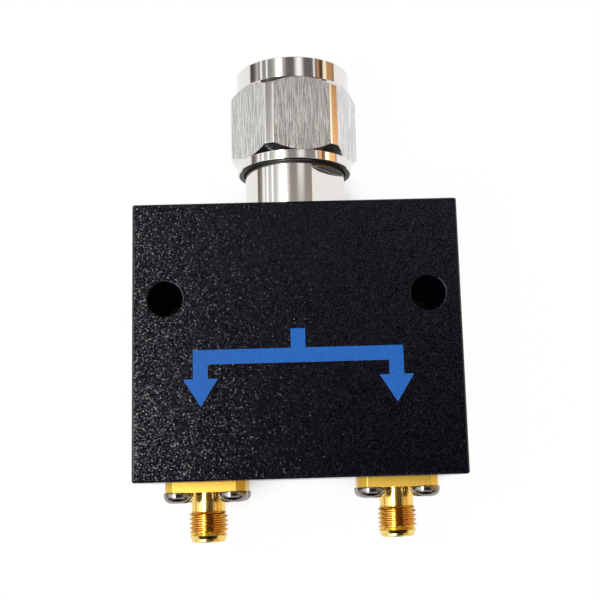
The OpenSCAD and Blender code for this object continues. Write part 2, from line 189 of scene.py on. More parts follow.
def add(tree, kind, links=None, stops=(), **settings):
    """Adds a node. Links go from a socket, or a plain value, to an input by name or number, and stops
    are the (position, hex) pairs of a colour ramp."""
    made = tree.nodes.new(kind)
    for name, value in settings.items():
        setattr(made, name, value)
    for name, value in (links or {}).items():
        if isinstance(value, bpy.types.NodeSocket):
            tree.links.new(value, made.inputs[name])
        else:
            made.inputs[name].default_value = value
    for number, (position, colour) in enumerate(stops):
        elements = made.color_ramp.elements
        stop = elements[number] if number < len(elements) else elements.new(position)
        stop.position, stop.color = position, linear(colour)
    return made


def new_material(name):
    """Empty material with its tree, its shader and the Object coordinates."""
    made = bpy.data.materials.new(name)
    made.use_nodes = True
    tree = made.node_tree
    shader = tree.nodes["Principled BSDF"]
    coordinates = add(tree, "ShaderNodeTexCoord").outputs["Object"]
    return made, tree, shader, coordinates


def link(tree, shader, **sockets):
    """Connects sockets to the shader's inputs, with underscores for spaces."""
    for name, socket in sockets.items():
        tree.links.new(socket, shader.inputs[name.replace("_", " ")])


def powder_coat():
    """Black polyester powder, baked to a fine sand texture: matt, with a glint on grains that face a lamp.

    Its grains are about 0.1 mm across. They are drawn a quarter coarser, so that they show.
    """
    made, tree, shader, coordinates = new_material("black_powder_coat")
    shader.inputs["Specular IOR Level"].default_value = 0.33
    grit, clump = 0.125 * MM, 0.175 * MM
    fine = add(tree, "ShaderNodeTexVoronoi", {"Vector": coordinates, "Scale": 1 / grit})
    broad = add(tree, "ShaderNodeTexVoronoi", {"Vector": coordinates, "Scale": 1 / clump})
    colour = add(tree, "ShaderNodeValToRGB", {"Fac": fine.outputs["Color"]},
                 [(0.3, "#010208"), (0.6, "#02040e"), (0.85, "#0a0e20")])
    rough = add(tree, "ShaderNodeMapRange", {"Value": broad.outputs["Color"], "To Min": 0.18, "To Max": 0.1})
    lean = add(tree, "ShaderNodeVectorMath", {0: fine.outputs["Color"], 1: broad.outputs["Color"]},
               operation="SUBTRACT")
    upright = add(tree, "ShaderNodeNewGeometry").outputs["Normal"]
    facet = add(tree, "ShaderNodeVectorMath", {0: lean.outputs[0], 1: (COAT_LEAN,) * 3, 2: upright},
                operation="MULTIPLY_ADD")
    facet = add(tree, "ShaderNodeVectorMath", {0: facet.outputs[0]}, operation="NORMALIZE")
    link(tree, shader, Base_Color=colour.outputs["Color"], Roughness=rough.outputs["Result"],
         Normal=facet.outputs[0])
    return made


def turned_steel():
    """Stainless steel from the lathe, polished: mirror-like, with faint lines round the axis."""
    made, tree, shader, coordinates = new_material("turned_stainless_steel")
    shader.inputs["Metallic"].default_value = 1.0
    along = add(tree, "ShaderNodeSeparateXYZ", {"Vector": coordinates}).outputs["Y"]
    feed, patch = 0.12 * MM, 4 * MM
    lines = add(tree, "ShaderNodeTexNoise", {"W": along, "Scale": 1 / feed, "Detail": 2.0},
                noise_dimensions="1D")
    smear = add(tree, "ShaderNodeTexNoise", {"Vector": coordinates, "Scale": 1 / patch, "Detail": 3.0})
    colour = add(tree, "ShaderNodeValToRGB", {"Fac": lines.outputs["Fac"]},
                 [(0.3, "#e3e0db"), (0.7, "#ebe9e5")])
    rough = add(tree, "ShaderNodeMapRange", {"Value": smear.outputs["Fac"], "To Min": 0.06, "To Max": 0.13})
    bump = add(tree, "ShaderNodeBump", {"Height": lines.outputs["Fac"], "Strength": 0.06,
                                        "Distance": 0.3 * feed})
    link(tree, shader, Base_Color=colour.outputs["Color"], Roughness=rough.outputs["Result"],
         Normal=bump.outputs["Normal"])
    return made


def brushed_steel():
    """Stainless steel ground along the nut's axis: streaks that blur what they reflect sideways.

    Its scratches are about 0.03 mm wide. They are drawn three times as wide, so that they show.
    """
    made, tree, shader, coordinates = new_material("brushed_stainless_steel")
    shader.inputs["Metallic"].default_value = 1.0
    streak_w, streak_l = 0.1 * MM, 4 * MM
    stretched = add(tree, "ShaderNodeMapping", {
        "Vector": coordinates, "Scale": (1 / streak_w, 1 / streak_l, 1 / streak_w)}).outputs["Vector"]
    streaks = add(tree, "ShaderNodeTexNoise", {"Vector": stretched, "Scale": 1.0, "Detail": 4.0,
                                               "Roughness": 0.65})
    colour = add(tree, "ShaderNodeValToRGB", {"Fac": streaks.outputs["Fac"]},
                 [(0.4, "#b0aeac"), (0.6, "#fdfcfa")])
    rough = add(tree, "ShaderNodeMapRange", {"Value": streaks.outputs["Fac"], "To Min": 0.2, "To Max": 0.12})
    bump = add(tree, "ShaderNodeBump", {"Height": streaks.outputs["Fac"], "Strength": 1.0,
                                        "Distance": 0.5 * streak_w})
    link(tree, shader, Base_Color=colour.outputs["Color"], Roughness=rough.outputs["Result"],
         Normal=bump.outputs["Normal"])
    return made


def shaded_milled_steel():
    """Stainless steel as the cutter leaves it, on shoulders and in bores: satin, not a mirror, painted a
    dark grey for the shade there.
    """
    made, tree, shader, coordinates = new_material("milled_stainless_steel_painted_shade")
    shader.inputs["Metallic"].default_value = 1.0
    grit, depth = 0.15 * MM, 0.03 * MM
    grain = add(tree, "ShaderNodeTexNoise", {"Vector": coordinates, "Scale": 1 / grit, "Detail": 3.0})
    colour = add(tree, "ShaderNodeValToRGB", {"Fac": grain.outputs["Fac"]},
                 [(0.3, "#504e4c"), (0.7, "#6a6865")])
    rough = add(tree, "ShaderNodeMapRange", {"Value": grain.outputs["Fac"], "To Min": 0.38, "To Max": 0.48})
    bump = add(tree, "ShaderNodeBump", {"Height": grain.outputs["Fac"], "Strength": 0.2,
                                        "Distance": depth})
    link(tree, shader, Base_Color=colour.outputs["Color"], Roughness=rough.outputs["Result"],
         Normal=bump.outputs["Normal"])
    return made


def gold_plate(name, dark, pale):
    """Bright gold electroplated on turned brass: a warm mirror with faint turning lines.

    The thread takes a darker gold than the plain faces: painted shade between its turns.
    """
    made, tree, shader, coordinates = new_material(name)
    shader.inputs["Metallic"].default_value = 1.0
    along = add(tree, "ShaderNodeSeparateXYZ", {"Vector": coordinates}).outputs["Y"]
    feed, patch = 0.1 * MM, 1.5 * MM
    lines = add(tree, "ShaderNodeTexNoise", {"W": along, "Scale": 1 / feed, "Detail": 2.0},
                noise_dimensions="1D")
    smear = add(tree, "ShaderNodeTexNoise", {"Vector": coordinates, "Scale": 1 / patch, "Detail": 3.0})
    colour = add(tree, "ShaderNodeValToRGB", {"Fac": smear.outputs["Fac"]},
                 [(0.3, dark), (0.7, pale)])
    rough = add(tree, "ShaderNodeMapRange", {"Value": smear.outputs["Fac"], "To Min": 0.14, "To Max": 0.24})
    bump = add(tree, "ShaderNodeBump", {"Height": lines.outputs["Fac"], "Strength": 0.06,
                                        "Distance": 0.3 * feed})
    link(tree, shader, Base_Color=colour.outputs["Color"], Roughness=rough.outputs["Result"],
         Normal=bump.outputs["Normal"])
    return made


def milled_gold():
    """Gold electroplated on milled brass: satin, with the fine grain of the cutter."""
    made, tree, shader, coordinates = new_material("gold_plated_milled_brass")
    shader.inputs["Metallic"].default_value = 1.0
    grit, depth = 0.14 * MM, 0.03 * MM
    grain = add(tree, "ShaderNodeTexNoise", {"Vector": coordinates, "Scale": 1 / grit, "Detail": 3.0})
    colour = add(tree, "ShaderNodeValToRGB", {"Fac": grain.outputs["Fac"]},
                 [(0.3, "#f4c450"), (0.7, "#fcd466")])
    rough = add(tree, "ShaderNodeMapRange", {"Value": grain.outputs["Fac"], "To Min": 0.4, "To Max": 0.48})
    bump = add(tree, "ShaderNodeBump", {"Height": grain.outputs["Fac"], "Strength": 0.25,
                                        "Distance": depth})
    link(tree, shader, Base_Color=colour.outputs["Color"], Roughness=rough.outputs["Result"],
         Normal=bump.outputs["Normal"])
    return made


def screw_steel():
    """Cold-headed steel under bright nickel: a smooth mirror, darker than the turned plug."""
    made, tree, shader, coordinates = new_material("nickel_plated_steel")
    shader.inputs["Metallic"].default_value = 1.0
    patch = 0.8 * MM
    mottle = add(tree, "ShaderNodeTexNoise", {"Vector": coordinates, "Scale": 1 / patch, "Detail": 3.0})
    colour = add(tree, "ShaderNodeValToRGB", {"Fac": mottle.outputs["Fac"]},
                 [(0.3, "#7b7773"), (0.7, "#96918c")])
    rough = add(tree, "ShaderNodeMapRange", {"Value": mottle.outputs["Fac"], "To Min": 0.1, "To Max": 0.2})
    link(tree, shader, Base_Color=colour.outputs["Color"], Roughness=rough.outputs["Result"])
    return made


def plain_solid(name, dark, pale, roughness, grain_mm, metallic=0.0, specular=0.5):
    """Moulded, pressed or etched material with a fine mottle of the grain's size."""
    made, tree, shader, coordinates = new_material(name)
    grit = grain_mm * MM
    shader.inputs["Metallic"].default_value = metallic
    shader.inputs["Specular IOR Level"].default_value = specular
    grain = add(tree, "ShaderNodeTexNoise", {"Vector": coordinates, "Scale": 1 / grit, "Detail": 3.0})
    colour = add(tree, "ShaderNodeValToRGB", {"Fac": grain.outputs["Fac"]},
                 [(0.3, dark), (0.7, pale)])
    rough = add(tree, "ShaderNodeMapRange", {"Value": grain.outputs["Fac"], "To Min": roughness - 0.06,
                                             "To Max": roughness + 0.06})
    bump = add(tree, "ShaderNodeBump", {"Height": grain.outputs["Fac"], "Strength": 0.15,
                                        "Distance": 0.2 * grit})
    link(tree, shader, Base_Color=colour.outputs["Color"], Roughness=rough.outputs["Result"],
         Normal=bump.outputs["Normal"])
    return made


FINISH = {
    "coat": powder_coat(),
    "turned": turned_steel(),
    "brushed": brushed_steel(),
    # Satin steel from the cutter, painted dark grey as the shade in the nut's bore and on the plug's
    # shoulders
    "milled": shaded_milled_steel(),
    "gold": gold_plate("gold_plated_brass", "#f2cf72", "#f7da84"),
    # Darker gold for the threads: painted shade between the turns
    "thread_gold_shade": gold_plate("gold_plated_brass_thread_painted_shade", "#d8ab54", "#e0b660"),
    "milled_gold": milled_gold(),
    "screw": screw_steel(),
    # Turned from a sintered rod: waxy white, with a soft sheen
    "ptfe": plain_solid("white_ptfe", "#e9e7e0", "#f6f5f0", 0.45, 0.5),
    # Moulded: brick red and dull
    "silicone": plain_solid("red_silicone_rubber", "#8f2f1c", "#a83c26", 0.5, 0.25),
    # Glass cloth pressed in resin: cream, with a faint mottle of its weave
    "laminate": plain_solid("woven_glass_laminate", "#d3c9a9", "#e8e0c8", 0.5, 0.4),
    # Etched foil: warm and softly bright
    "copper": plain_solid("etched_copper", "#a8632f", "#c98450", 0.3, 0.3, metallic=1.0),
    # Fired glaze: nearly black, with some shine
    "chip": plain_solid("chip_resistor_glaze", "#1b1a19", "#2e2c2a", 0.3, 0.2),
    # Screen-printed and dried: a flat, strong blue that hardly shines
    "ink": plain_solid("blue_screen_ink", "#1756a6", "#1d61b5", 0.5, 0.3, specular=0.2),
}


def add_piece(bm, name, body, finishes, replaced=(), sharp=32):
    """Makes a mesh piece of a bmesh, smooth but for its sharp edges, and ties it to the frame."""
    mesh = bpy.data.meshes.new(name)
    bm.to_mesh(mesh)
    bm.free()
    mesh.shade_smooth()
    mesh.set_sharp_from_angle(angle=math.radians(sharp))
    for finish in finishes:
        mesh.materials.append(FINISH[finish])
    made = bpy.data.objects.new(name, mesh)
    bpy.context.scene.collection.objects.link(made)
    normals = made.modifiers.new("even_normals", "WEIGHTED_NORMAL")
    normals.mode = "FACE_AREA_WITH_ANGLE"
    normals.keep_sharp = True
    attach(made, body)
    if replaced:
        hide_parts(*replaced)
    return made


def merged_copy(node):
    """Copy of a CAD node's mesh with its triangles joined to whole faces."""
    bm = bmesh.new()
    bm.from_mesh(nodes[node].data)
    bmesh.ops.remove_doubles(bm, verts=bm.verts, dist=MERGE * MM)
    bmesh.ops.dissolve_limit(bm, angle_limit=math.radians(FLAT), verts=bm.verts, edges=bm.edges)
    for face in bm.faces:
        face.material_index = 0
    return bm


def ease(bm, width, segments=2, over=25, where=None):
    """Rounds the edges that are sharper than the angle, all of them or those that where picks."""
    edges = [e for e in bm.edges if len(e.link_faces) == 2
             and e.calc_face_angle() > math.radians(over) and (where is None or where(e))]
    bmesh.ops.bevel(bm, geom=edges, offset=width * MM, segments=segments, profile=0.5, affect="EDGES",
                    material=-1, clamp_overlap=True)


def turned(outline, steps=128):
    """Spins an outline of (radius, station) points in millimetres about z."""
    bm = bmesh.new()
    points = [bm.verts.new((r * MM, 0, s * MM)) for r, s in outline]
    edges = [bm.edges.new(pair) for pair in zip(points, points[1:])]
    if outline[0][0] > 0:
        edges.append(bm.edges.new((points[-1], points[0])))
    bmesh.ops.spin(bm, geom=points + edges, cent=(0, 0, 0), axis=(0, 0, 1), angle=math.tau, steps=steps,
                   use_merge=True)
    bmesh.ops.remove_doubles(bm, verts=bm.verts, dist=MERGE * MM)
    bmesh.ops.recalc_face_normals(bm, faces=bm.faces)
    return bm


def thread_ridge(root, crest, pitch, start, end, lead=0.6, steps=48):
    """Helical ridge between two stations, sunk a little into its wall and tapered at both ends."""
    sunk = math.copysign(RIDGE["sunk"], crest - root)
    half_root, half_crest = pitch * RIDGE["foot"], pitch * RIDGE["top"]
    first = start + half_root
    length = end - start - 2 * half_root
    turns = length / pitch
    bm = bmesh.new()
    section = [(root - sunk, -half_root), (crest, -half_crest), (crest, half_crest),
               (root - sunk, half_root)]
    points = [bm.verts.new((r * MM, 0, (first + s) * MM)) for r, s in section]
    edges = [bm.edges.new(pair) for pair in zip(points, points[1:] + points[:1])]
    count = round(turns * steps)
    bmesh.ops.spin(bm, geom=points + edges, cent=(0, 0, 0), axis=(0, 0, 1), angle=math.tau * turns,
                   steps=count, dvec=(0, 0, length / count * MM))
    bmesh.ops.holes_fill(bm, edges=[e for e in bm.edges if e.is_boundary], sides=len(section))
    for vert in bm.verts:
        radius = vert.co.xy.length / MM
        from_end = min(vert.co.z / MM - start, end - vert.co.z / MM) - half_root
        height = min(1, max(RIDGE["least"], (from_end + half_crest) / lead))
        allowed = root + (crest - root) * height
        if abs(radius - root) > abs(allowed - root) and (radius - root) * (crest - root) > 0:
            vert.co.xy *= allowed / radius
    bmesh.ops.recalc_face_normals(bm, faces=bm.faces)
    return bm


def put(bm, matrix):
    """Moves the whole bmesh and gives it back."""
    bmesh.ops.transform(bm, matrix=matrix, verts=bm.verts)
    return bm


def join(bm, other):
    """Moves the other bmesh's faces into the first."""
    mesh = bpy.data.meshes.new("joined")
    other.to_mesh(mesh)
    other.free()
    bm.from_mesh(mesh)
    bpy.data.meshes.remove(mesh)
    return bm


def carve(bm, tools, operation):
    """Unites a bmesh with its tools, or cuts them out of it."""
    objects = []
    for shape in [bm] + tools:
        mesh = bpy.data.meshes.new("carving")
        shape.to_mesh(mesh)
        shape.free()
        objects.append(bpy.data.objects.new("carving", mesh))
        bpy.context.scene.collection.objects.link(objects[-1])
    for tool in objects[1:]:
        step = objects[0].modifiers.new("carve", "BOOLEAN")
        step.operation = operation
        step.solver = "EXACT"
        step.object = tool
    bpy.context.view_layer.update()
    carved = objects[0].evaluated_get(bpy.context.evaluated_depsgraph_get())
    result = bmesh.new()
    result.from_mesh(carved.to_mesh())
    carved.to_mesh_clear()
    for used in objects:
        mesh = used.data
        bpy.data.objects.remove(used)
        bpy.data.meshes.remove(mesh)
    return result


# The plug's stations run along +Y from the nut's rear end, a jack's along -Y from the block
ON_PLUG = Matrix.Translation(plug_axis) @ Matrix.Rotation(math.radians(-90), 4, "X")


def on_jack(side):
    """Place of a jack's stations in the frame."""
    low, high = jack_lows[side], jack_highs[side]
    root = Vector(((low.x + high.x) / 2, high.y, (low.z + high.z) / 2))
    return Matrix.Translation(root) @ Matrix.Rotation(math.radians(90), 4, "X")


def make_block():
    """Milled block: its chamfers are rounded by the coat, and so are the rims of its two holes."""
    bm = merged_copy("housing")
    top, reach = block_high.z, EDGE_REACH * MM

    def on_rim(edge):
        return all(abs(v.co.z - top) < CLOSE * MM and
                   abs(math.hypot(abs(v.co.x) - HOLE_X * MM, v.co.y) - HOLE_R * MM) < RIM_SLACK * MM
                   for v in edge.verts)

    def outside(edge):
        return all(v.co.x < block_low.x + reach or v.co.x > block_high.x - reach
                   or v.co.y < block_low.y + reach or v.co.y > block_high.y - reach for v in edge.verts)

    def on_chamfer(edge):
        return outside(edge) and edge.calc_face_angle() < math.radians(CHAMFER_UNDER)

    ease(bm, RIM_ROUND, segments=3, where=on_rim)
    ease(bm, EDGE_ROUND, segments=2, where=on_chamfer)
    return add_piece(bm, "coated_block", "splitter", ["coat"], ["housing"])


def make_nut():
    """Turned in one outline, then milled to six flats, which are brushed along the axis. Its rear face and
    the bore that the plug fills are left as cut, in a satin steel painted dark for the shade there."""
    hex_end = NUT_LEN - FRONT_RING
    lead = NUT_CORNER_R - NUT_RING_R
    outline = [
        (COLLAR_R, 0), (NUT_RING_R - NUT_EDGE, 0), (NUT_RING_R, NUT_EDGE), (NUT_RING_R, REAR_RING),
        (NUT_CORNER_R, REAR_RING + lead), (NUT_CORNER_R, hex_end - lead), (NUT_RING_R, hex_end),
        (NUT_RING_R, NUT_LEN - NUT_EDGE), (NUT_RING_R - NUT_EDGE, NUT_LEN), (ENTRY_R + NUT_EDGE, NUT_LEN),
        (ENTRY_R, NUT_LEN - NUT_EDGE), (ENTRY_R, NUT_LEN - ENTRY_DEPTH),
        (NUT_THREAD["root"], NUT_LEN - ENTRY_DEPTH), (NUT_THREAD["root"], RELIEF_END),
        (RELIEF_R, RELIEF_END), (RELIEF_R, BORE_END), (NUT_BORE_R, BORE_END),
        (NUT_BORE_R, RING_GROOVE["end"]), (RING_GROOVE["r"], RING_GROOVE["end"]),
        (RING_GROOVE["r"], RING_GROOVE["start"]), (NUT_BORE_R, RING_GROOVE["start"]),
        (NUT_BORE_R, COLLAR_DEPTH), (COLLAR_R, COLLAR_DEPTH),
    ]
    bm = turned(outline, steps=180)
    for k in range(6):
        angle = math.radians(NUT_TURN + 30 + 60 * k)
        normal = Vector((math.cos(angle), math.sin(angle), 0))
        cut = bmesh.ops.bisect_plane(bm, geom=bm.verts[:] + bm.edges[:] + bm.faces[:], dist=CUT * MM,
                                     plane_co=normal * NUT_FLAT * MM, plane_no=normal, clear_outer=True)
        edges = [e for e in cut["geom_cut"] if isinstance(e, bmesh.types.BMEdge)]
        for face in bmesh.ops.contextual_create(bm, geom=edges)["faces"]:
            face.material_index = 1
    # The collar, the bore and the rear face take the dark satin steel: painted shade
    for face in bm.faces:
        middle = face.calc_center_median() / MM
        in_collar = middle.xy.length < COLLAR_R + 2 * CLOSE and middle.z < RELIEF_END
        if in_collar or abs(middle.z) < CLOSE:
            face.material_index = 2
    ease(bm, NUT_BREAK, over=NUT_BREAK_OVER)
    ridge = thread_ridge(start=RELIEF_END, end=NUT_LEN - ENTRY_DEPTH, steps=72, **NUT_THREAD)
    join(bm, ridge)
    put(bm, ON_PLUG)
    return add_piece(bm, "hexagon_coupling_nut", "nut", ["turned", "brushed", "milled"],
                     ["coupling_nut"], sharp=20)


def make_jack(side):
    """Square flange and barrel in one piece, with a real thread."""
    width = (jack_highs[side].x - jack_lows[side].x) / MM
    plate = bmesh.new()
    bmesh.ops.create_cube(plate, size=1.0)
    bmesh.ops.scale(plate, vec=Vector((width, width, FLANGE_T)) * MM, verts=plate.verts)
    upright = [e for e in plate.edges if abs(e.verts[0].co.z - e.verts[1].co.z) > 0.5 * FLANGE_T * MM]
    bmesh.ops.bevel(plate, geom=upright, offset=FLANGE_CORNER * MM, segments=1, profile=0.5,
                    affect="EDGES", material=-1)
    ease(plate, FLANGE_BREAK)
    for face in plate.faces:
        face.material_index = 1
    put(plate, Matrix.Translation((0, 0, FLANGE_T / 2 * MM)))
    lead = JACK_THREAD["crest"] - JACK_NECK_R
    barrel = turned([
        (0, FLANGE_T / 2), (JACK_NECK_R, FLANGE_T / 2), (JACK_NECK_R, JACK_THREAD_START),
        (JACK_CORE_R, JACK_THREAD_START + JACK_EDGE), (JACK_CORE_R, JACK_RUN_OUT - lead),
        (JACK_THREAD["crest"] - JACK_RUN_OUT_LOW, JACK_RUN_OUT), (JACK_NECK_R, JACK_RUN_OUT_END),
        (JACK_NECK_R, JACK_END - JACK_EDGE), (JACK_NECK_R - JACK_EDGE, JACK_END), (0, JACK_END),
    ], steps=96)
    ridge = thread_ridge(start=JACK_THREAD_START - JACK_THREAD_EARLY, end=JACK_RUN_OUT,
                         lead=JACK_THREAD_LEAD, **JACK_THREAD)
    bm = carve(plate, [barrel, ridge], "UNION")
    socket = JACK_END - SOCKET_DEPTH
    drills = [turned([(0, -PAST), (INSULATOR_R, -PAST), (INSULATOR_R, socket), (SOCKET_R, socket),
                      (SOCKET_R, JACK_END + PAST), (0, JACK_END + PAST)], steps=96)]
    for i in (-1, 1):
        for j in (-1, 1):
            hole = turned([(0, -PAST), (FLANGE_HOLE_R, -PAST), (FLANGE_HOLE_R, FLANGE_T + PAST),
                           (0, FLANGE_T + PAST)], steps=32)
            place = Vector((i * FLANGE_PITCH / 2, j * FLANGE_PITCH / 2, 0)) * MM
            drills.append(put(hole, Matrix.Translation(place)))
    bm = carve(bm, drills, "DIFFERENCE")
    # Thread faces take the darker gold: painted shade
    for face in bm.faces:
        middle = face.calc_center_median() / MM
        if JACK_THREAD_START < middle.z < JACK_RUN_OUT - lead and middle.xy.length > SOCKET_R:
            face.material_index = 2
    put(bm, on_jack(side))
    return add_piece(bm, side + "_gold_jack", "splitter",
                     ["gold", "milled_gold", "thread_gold_shade"], [side + "_jack_body"])


def make_print():
    """Screen-printed symbol of a divider: one line in, two arrows out over the jacks."""
    line, drop, head = PRINT["line"] / 2, PRINT["drop"], PRINT["head"] / 2
    reach = (jack_lows["right"].x + jack_highs["right"].x) / 2 / MM
    bar, top = PRINT["bar_y"], PRINT["top_y"]
    right = [
        (line, top), (line, bar + line), (reach + line, bar + line), (reach + line, bar - drop),
        (reach + head, bar - drop), (reach, bar - drop - PRINT["head"] * PRINT["point"]),
        (reach - head, bar - drop), (reach - line, bar - drop), (reach - line, bar - line),
    ]
    outline = right + [(-x, y) for x, y in reversed(right)]
    bm = bmesh.new()
    bm.faces.new([bm.verts.new((x * MM, y * MM, block_high.z - PRINT["sunk"] * MM)) for x, y in outline])
    raised = bmesh.ops.extrude_face_region(bm, geom=bm.faces[:])["geom"]
    bmesh.ops.translate(bm, vec=(0, 0, (PRINT["thick"] + PRINT["sunk"]) * MM),
                        verts=[v for v in raised if isinstance(v, bmesh.types.BMVert)])
    bmesh.ops.recalc_face_normals(bm, faces=bm.faces)
    return add_piece(bm, "printed_symbol", "splitter", ["ink"])


def make_plug():
    """Turned plug body with broken edges. Its shoulders and what the nut shades are left as cut, in a satin
    steel painted dark for their shade.
    """
    bm = merged_copy("plug_body")
    shaded, land = nut_low.y - PLUG_SHADE * MM, nut_low.y - PLUG_LAND * MM
    for y in (shaded, land):
        bmesh.ops.bisect_plane(bm, geom=bm.verts[:] + bm.edges[:] + bm.faces[:], dist=CUT * MM,
                               plane_co=(0, y, 0), plane_no=(0, 1, 0))
    ease(bm, PLUG_BREAK)
    turn = math.radians(WRENCH_TURN)
    flat = Vector((math.sin(turn), 0, math.cos(turn)))
    # The shaded end of the neck, the land by the flats and the shoulders facing the block take the dark
    # satin steel: painted shade
    for face in bm.faces:
        y = face.calc_center_median().y
        over_flat = abs(face.normal.dot(flat)) > WRENCH_SPAN and y > land
        if y > shaded or over_flat or face.normal.y < -SHOULDER_SPAN:
            face.material_index = 1
    return add_piece(bm, "turned_plug_body", "splitter", ["turned", "milled"], ["plug_body"])


def make_eased(node, name, finish, width):
    """A CAD piece with its sharp edges broken."""
    bm = merged_copy(node)
    ease(bm, width)
    return add_piece(bm, name, "splitter", [finish], [node])


def make_stage():
    """White table. It glows to the camera and to mirrors as white paper does, and keeps its shadow."""
    bm = bmesh.new()
    bmesh.ops.create_grid(bm, x_segments=1, y_segments=1, size=TABLE * MM)
    mesh = bpy.data.meshes.new("table")
    bm.to_mesh(mesh)
    bm.free()
    table = bpy.data.objects.new("table", mesh)
    table.location.z = cad_box[0].z
    bpy.context.scene.collection.objects.link(table)
    made = bpy.data.materials.new("white_paper")
    made.use_nodes = True
    tree = made.node_tree
    tree.nodes.clear()
    path = add(tree, "ShaderNodeLightPath")
    seen = add(tree, "ShaderNodeMath", {0: path.outputs["Is Camera Ray"], 1: path.outputs["Is Glossy Ray"]},
               operation="MAXIMUM")
    seen = add(tree, "ShaderNodeMath", {0: seen.outputs[0], 1: path.outputs["Is Transmission Ray"]},
               operation="MAXIMUM")
    # Near the pieces, ambient occlusion fades the glow so that the paper shows its shade there: painted
    # shade
    nearby = add(tree, "ShaderNodeAmbientOcclusion", {"Distance": SHADE_REACH * MM}, samples=8)
    open_sky = add(tree, "ShaderNodeMapRange", {"Value": nearby.outputs["AO"], "From Min": SHADE_FADE[0],
                                                "From Max": SHADE_FADE[1], "To Max": PAPER_GLOW})
    share = add(tree, "ShaderNodeMath", {0: seen.outputs[0], 1: open_sky.outputs["Result"]},
                operation="MULTIPLY")
    paper = add(tree, "ShaderNodeBsdfDiffuse", {"Color": linear("#f4f4f4")})
    white = add(tree, "ShaderNodeEmission", {"Color": linear("#ffffff"), "Strength": 1.0})
    mixed = add(tree, "ShaderNodeMixShader", {0: share.outputs[0], 1: paper.outputs[0], 2: white.outputs[0]})
    add(tree, "ShaderNodeOutputMaterial", {"Surface": mixed.outputs[0]})
    mesh.materials.append(made)


# What the metal mirrors, at the plug's end and at the jacks' end of the table: the angle about the plug's
# axis, from straight up towards +X, and which of the room's plain colours stands there
ROOM = {
    "dark": "#2e2b28", "dim": "#64605d", "grey": "#888888", "pale": "#bebcb8", "white": "#ffffff",
    "cream": "#fff0d0", "tan": "#b88a60", "amber": "#d9a864", "brown": "#4a361f",
}
ROOM_AT_PLUG = [
    (-95, "dark"), (-82, "dim"), (-76, "pale"), (-72, "grey"), (-43, "grey"), (-34, "pale"), (-20, "pale"),
    (-10, "dim"), (50, "dim"), (54, "tan"), (56, "tan"), (58.5, "brown"), (65, "brown"), (67.5, "cream"),
    (73, "cream"), (76, "tan"), (90, "tan"), (95, "dark"),
]
ROOM_AT_JACKS = [
    (-95, "grey"), (-88, "grey"), (-84, "white"), (-26, "white"), (-12, "brown"), (37, "brown"),
    (38, "white"), (41, "white"), (42, "brown"), (47, "brown"), (49, "cream"), (60, "amber"), (76, "amber"),
    (80, "cream"), (92, "cream"), (95, "dark"),
]
ROOM_STRENGTH = 1.15

# Where the room changes along the table, as the y of a direction: from the jacks' colours to the plug's, out
# of the dark before the jacks, into the dark past the plug, and to the end of the pale stretch between them
TO_PLUG = (0.09, 0.2)
DARK_NEAR = {"from": -0.55, "to": -0.25, "left": 0.03}
DARK_FAR = {"from": 0.65, "to": 0.95, "left": 0.1}
PALE = {"from": 0.28, "to": 0.38, "more": 1.5}

# Soft lamps over the table: the angle of the middle, half widths of the full and of the fading part,
# radiance, and the reach along the table as the lowest and highest y of a direction
LAMPS = [
    (-26.8, 2.5, 8.5, 14.5, -0.5, 0.22),
    (-26.8, 2.5, 8.5, 1.8, 0.22, 0.8),
    (14.2, 2, 12, 1.0, 0.29, 0.8),
    (-44, 14, 20, 1.0, -0.4, 0.14),
    (-65.7, 1, 2.6, 1.1, 0.15, 0.8),
    (-52.6, 0.8, 2.2, 1.1, 0.15, 0.8),
    (45.9, 0.9, 2.2, 1.1, 0.15, 0.8),
    (0, 50, 75, 1.0, -0.72, -0.48),
]
LAMP_FADE = 0.05


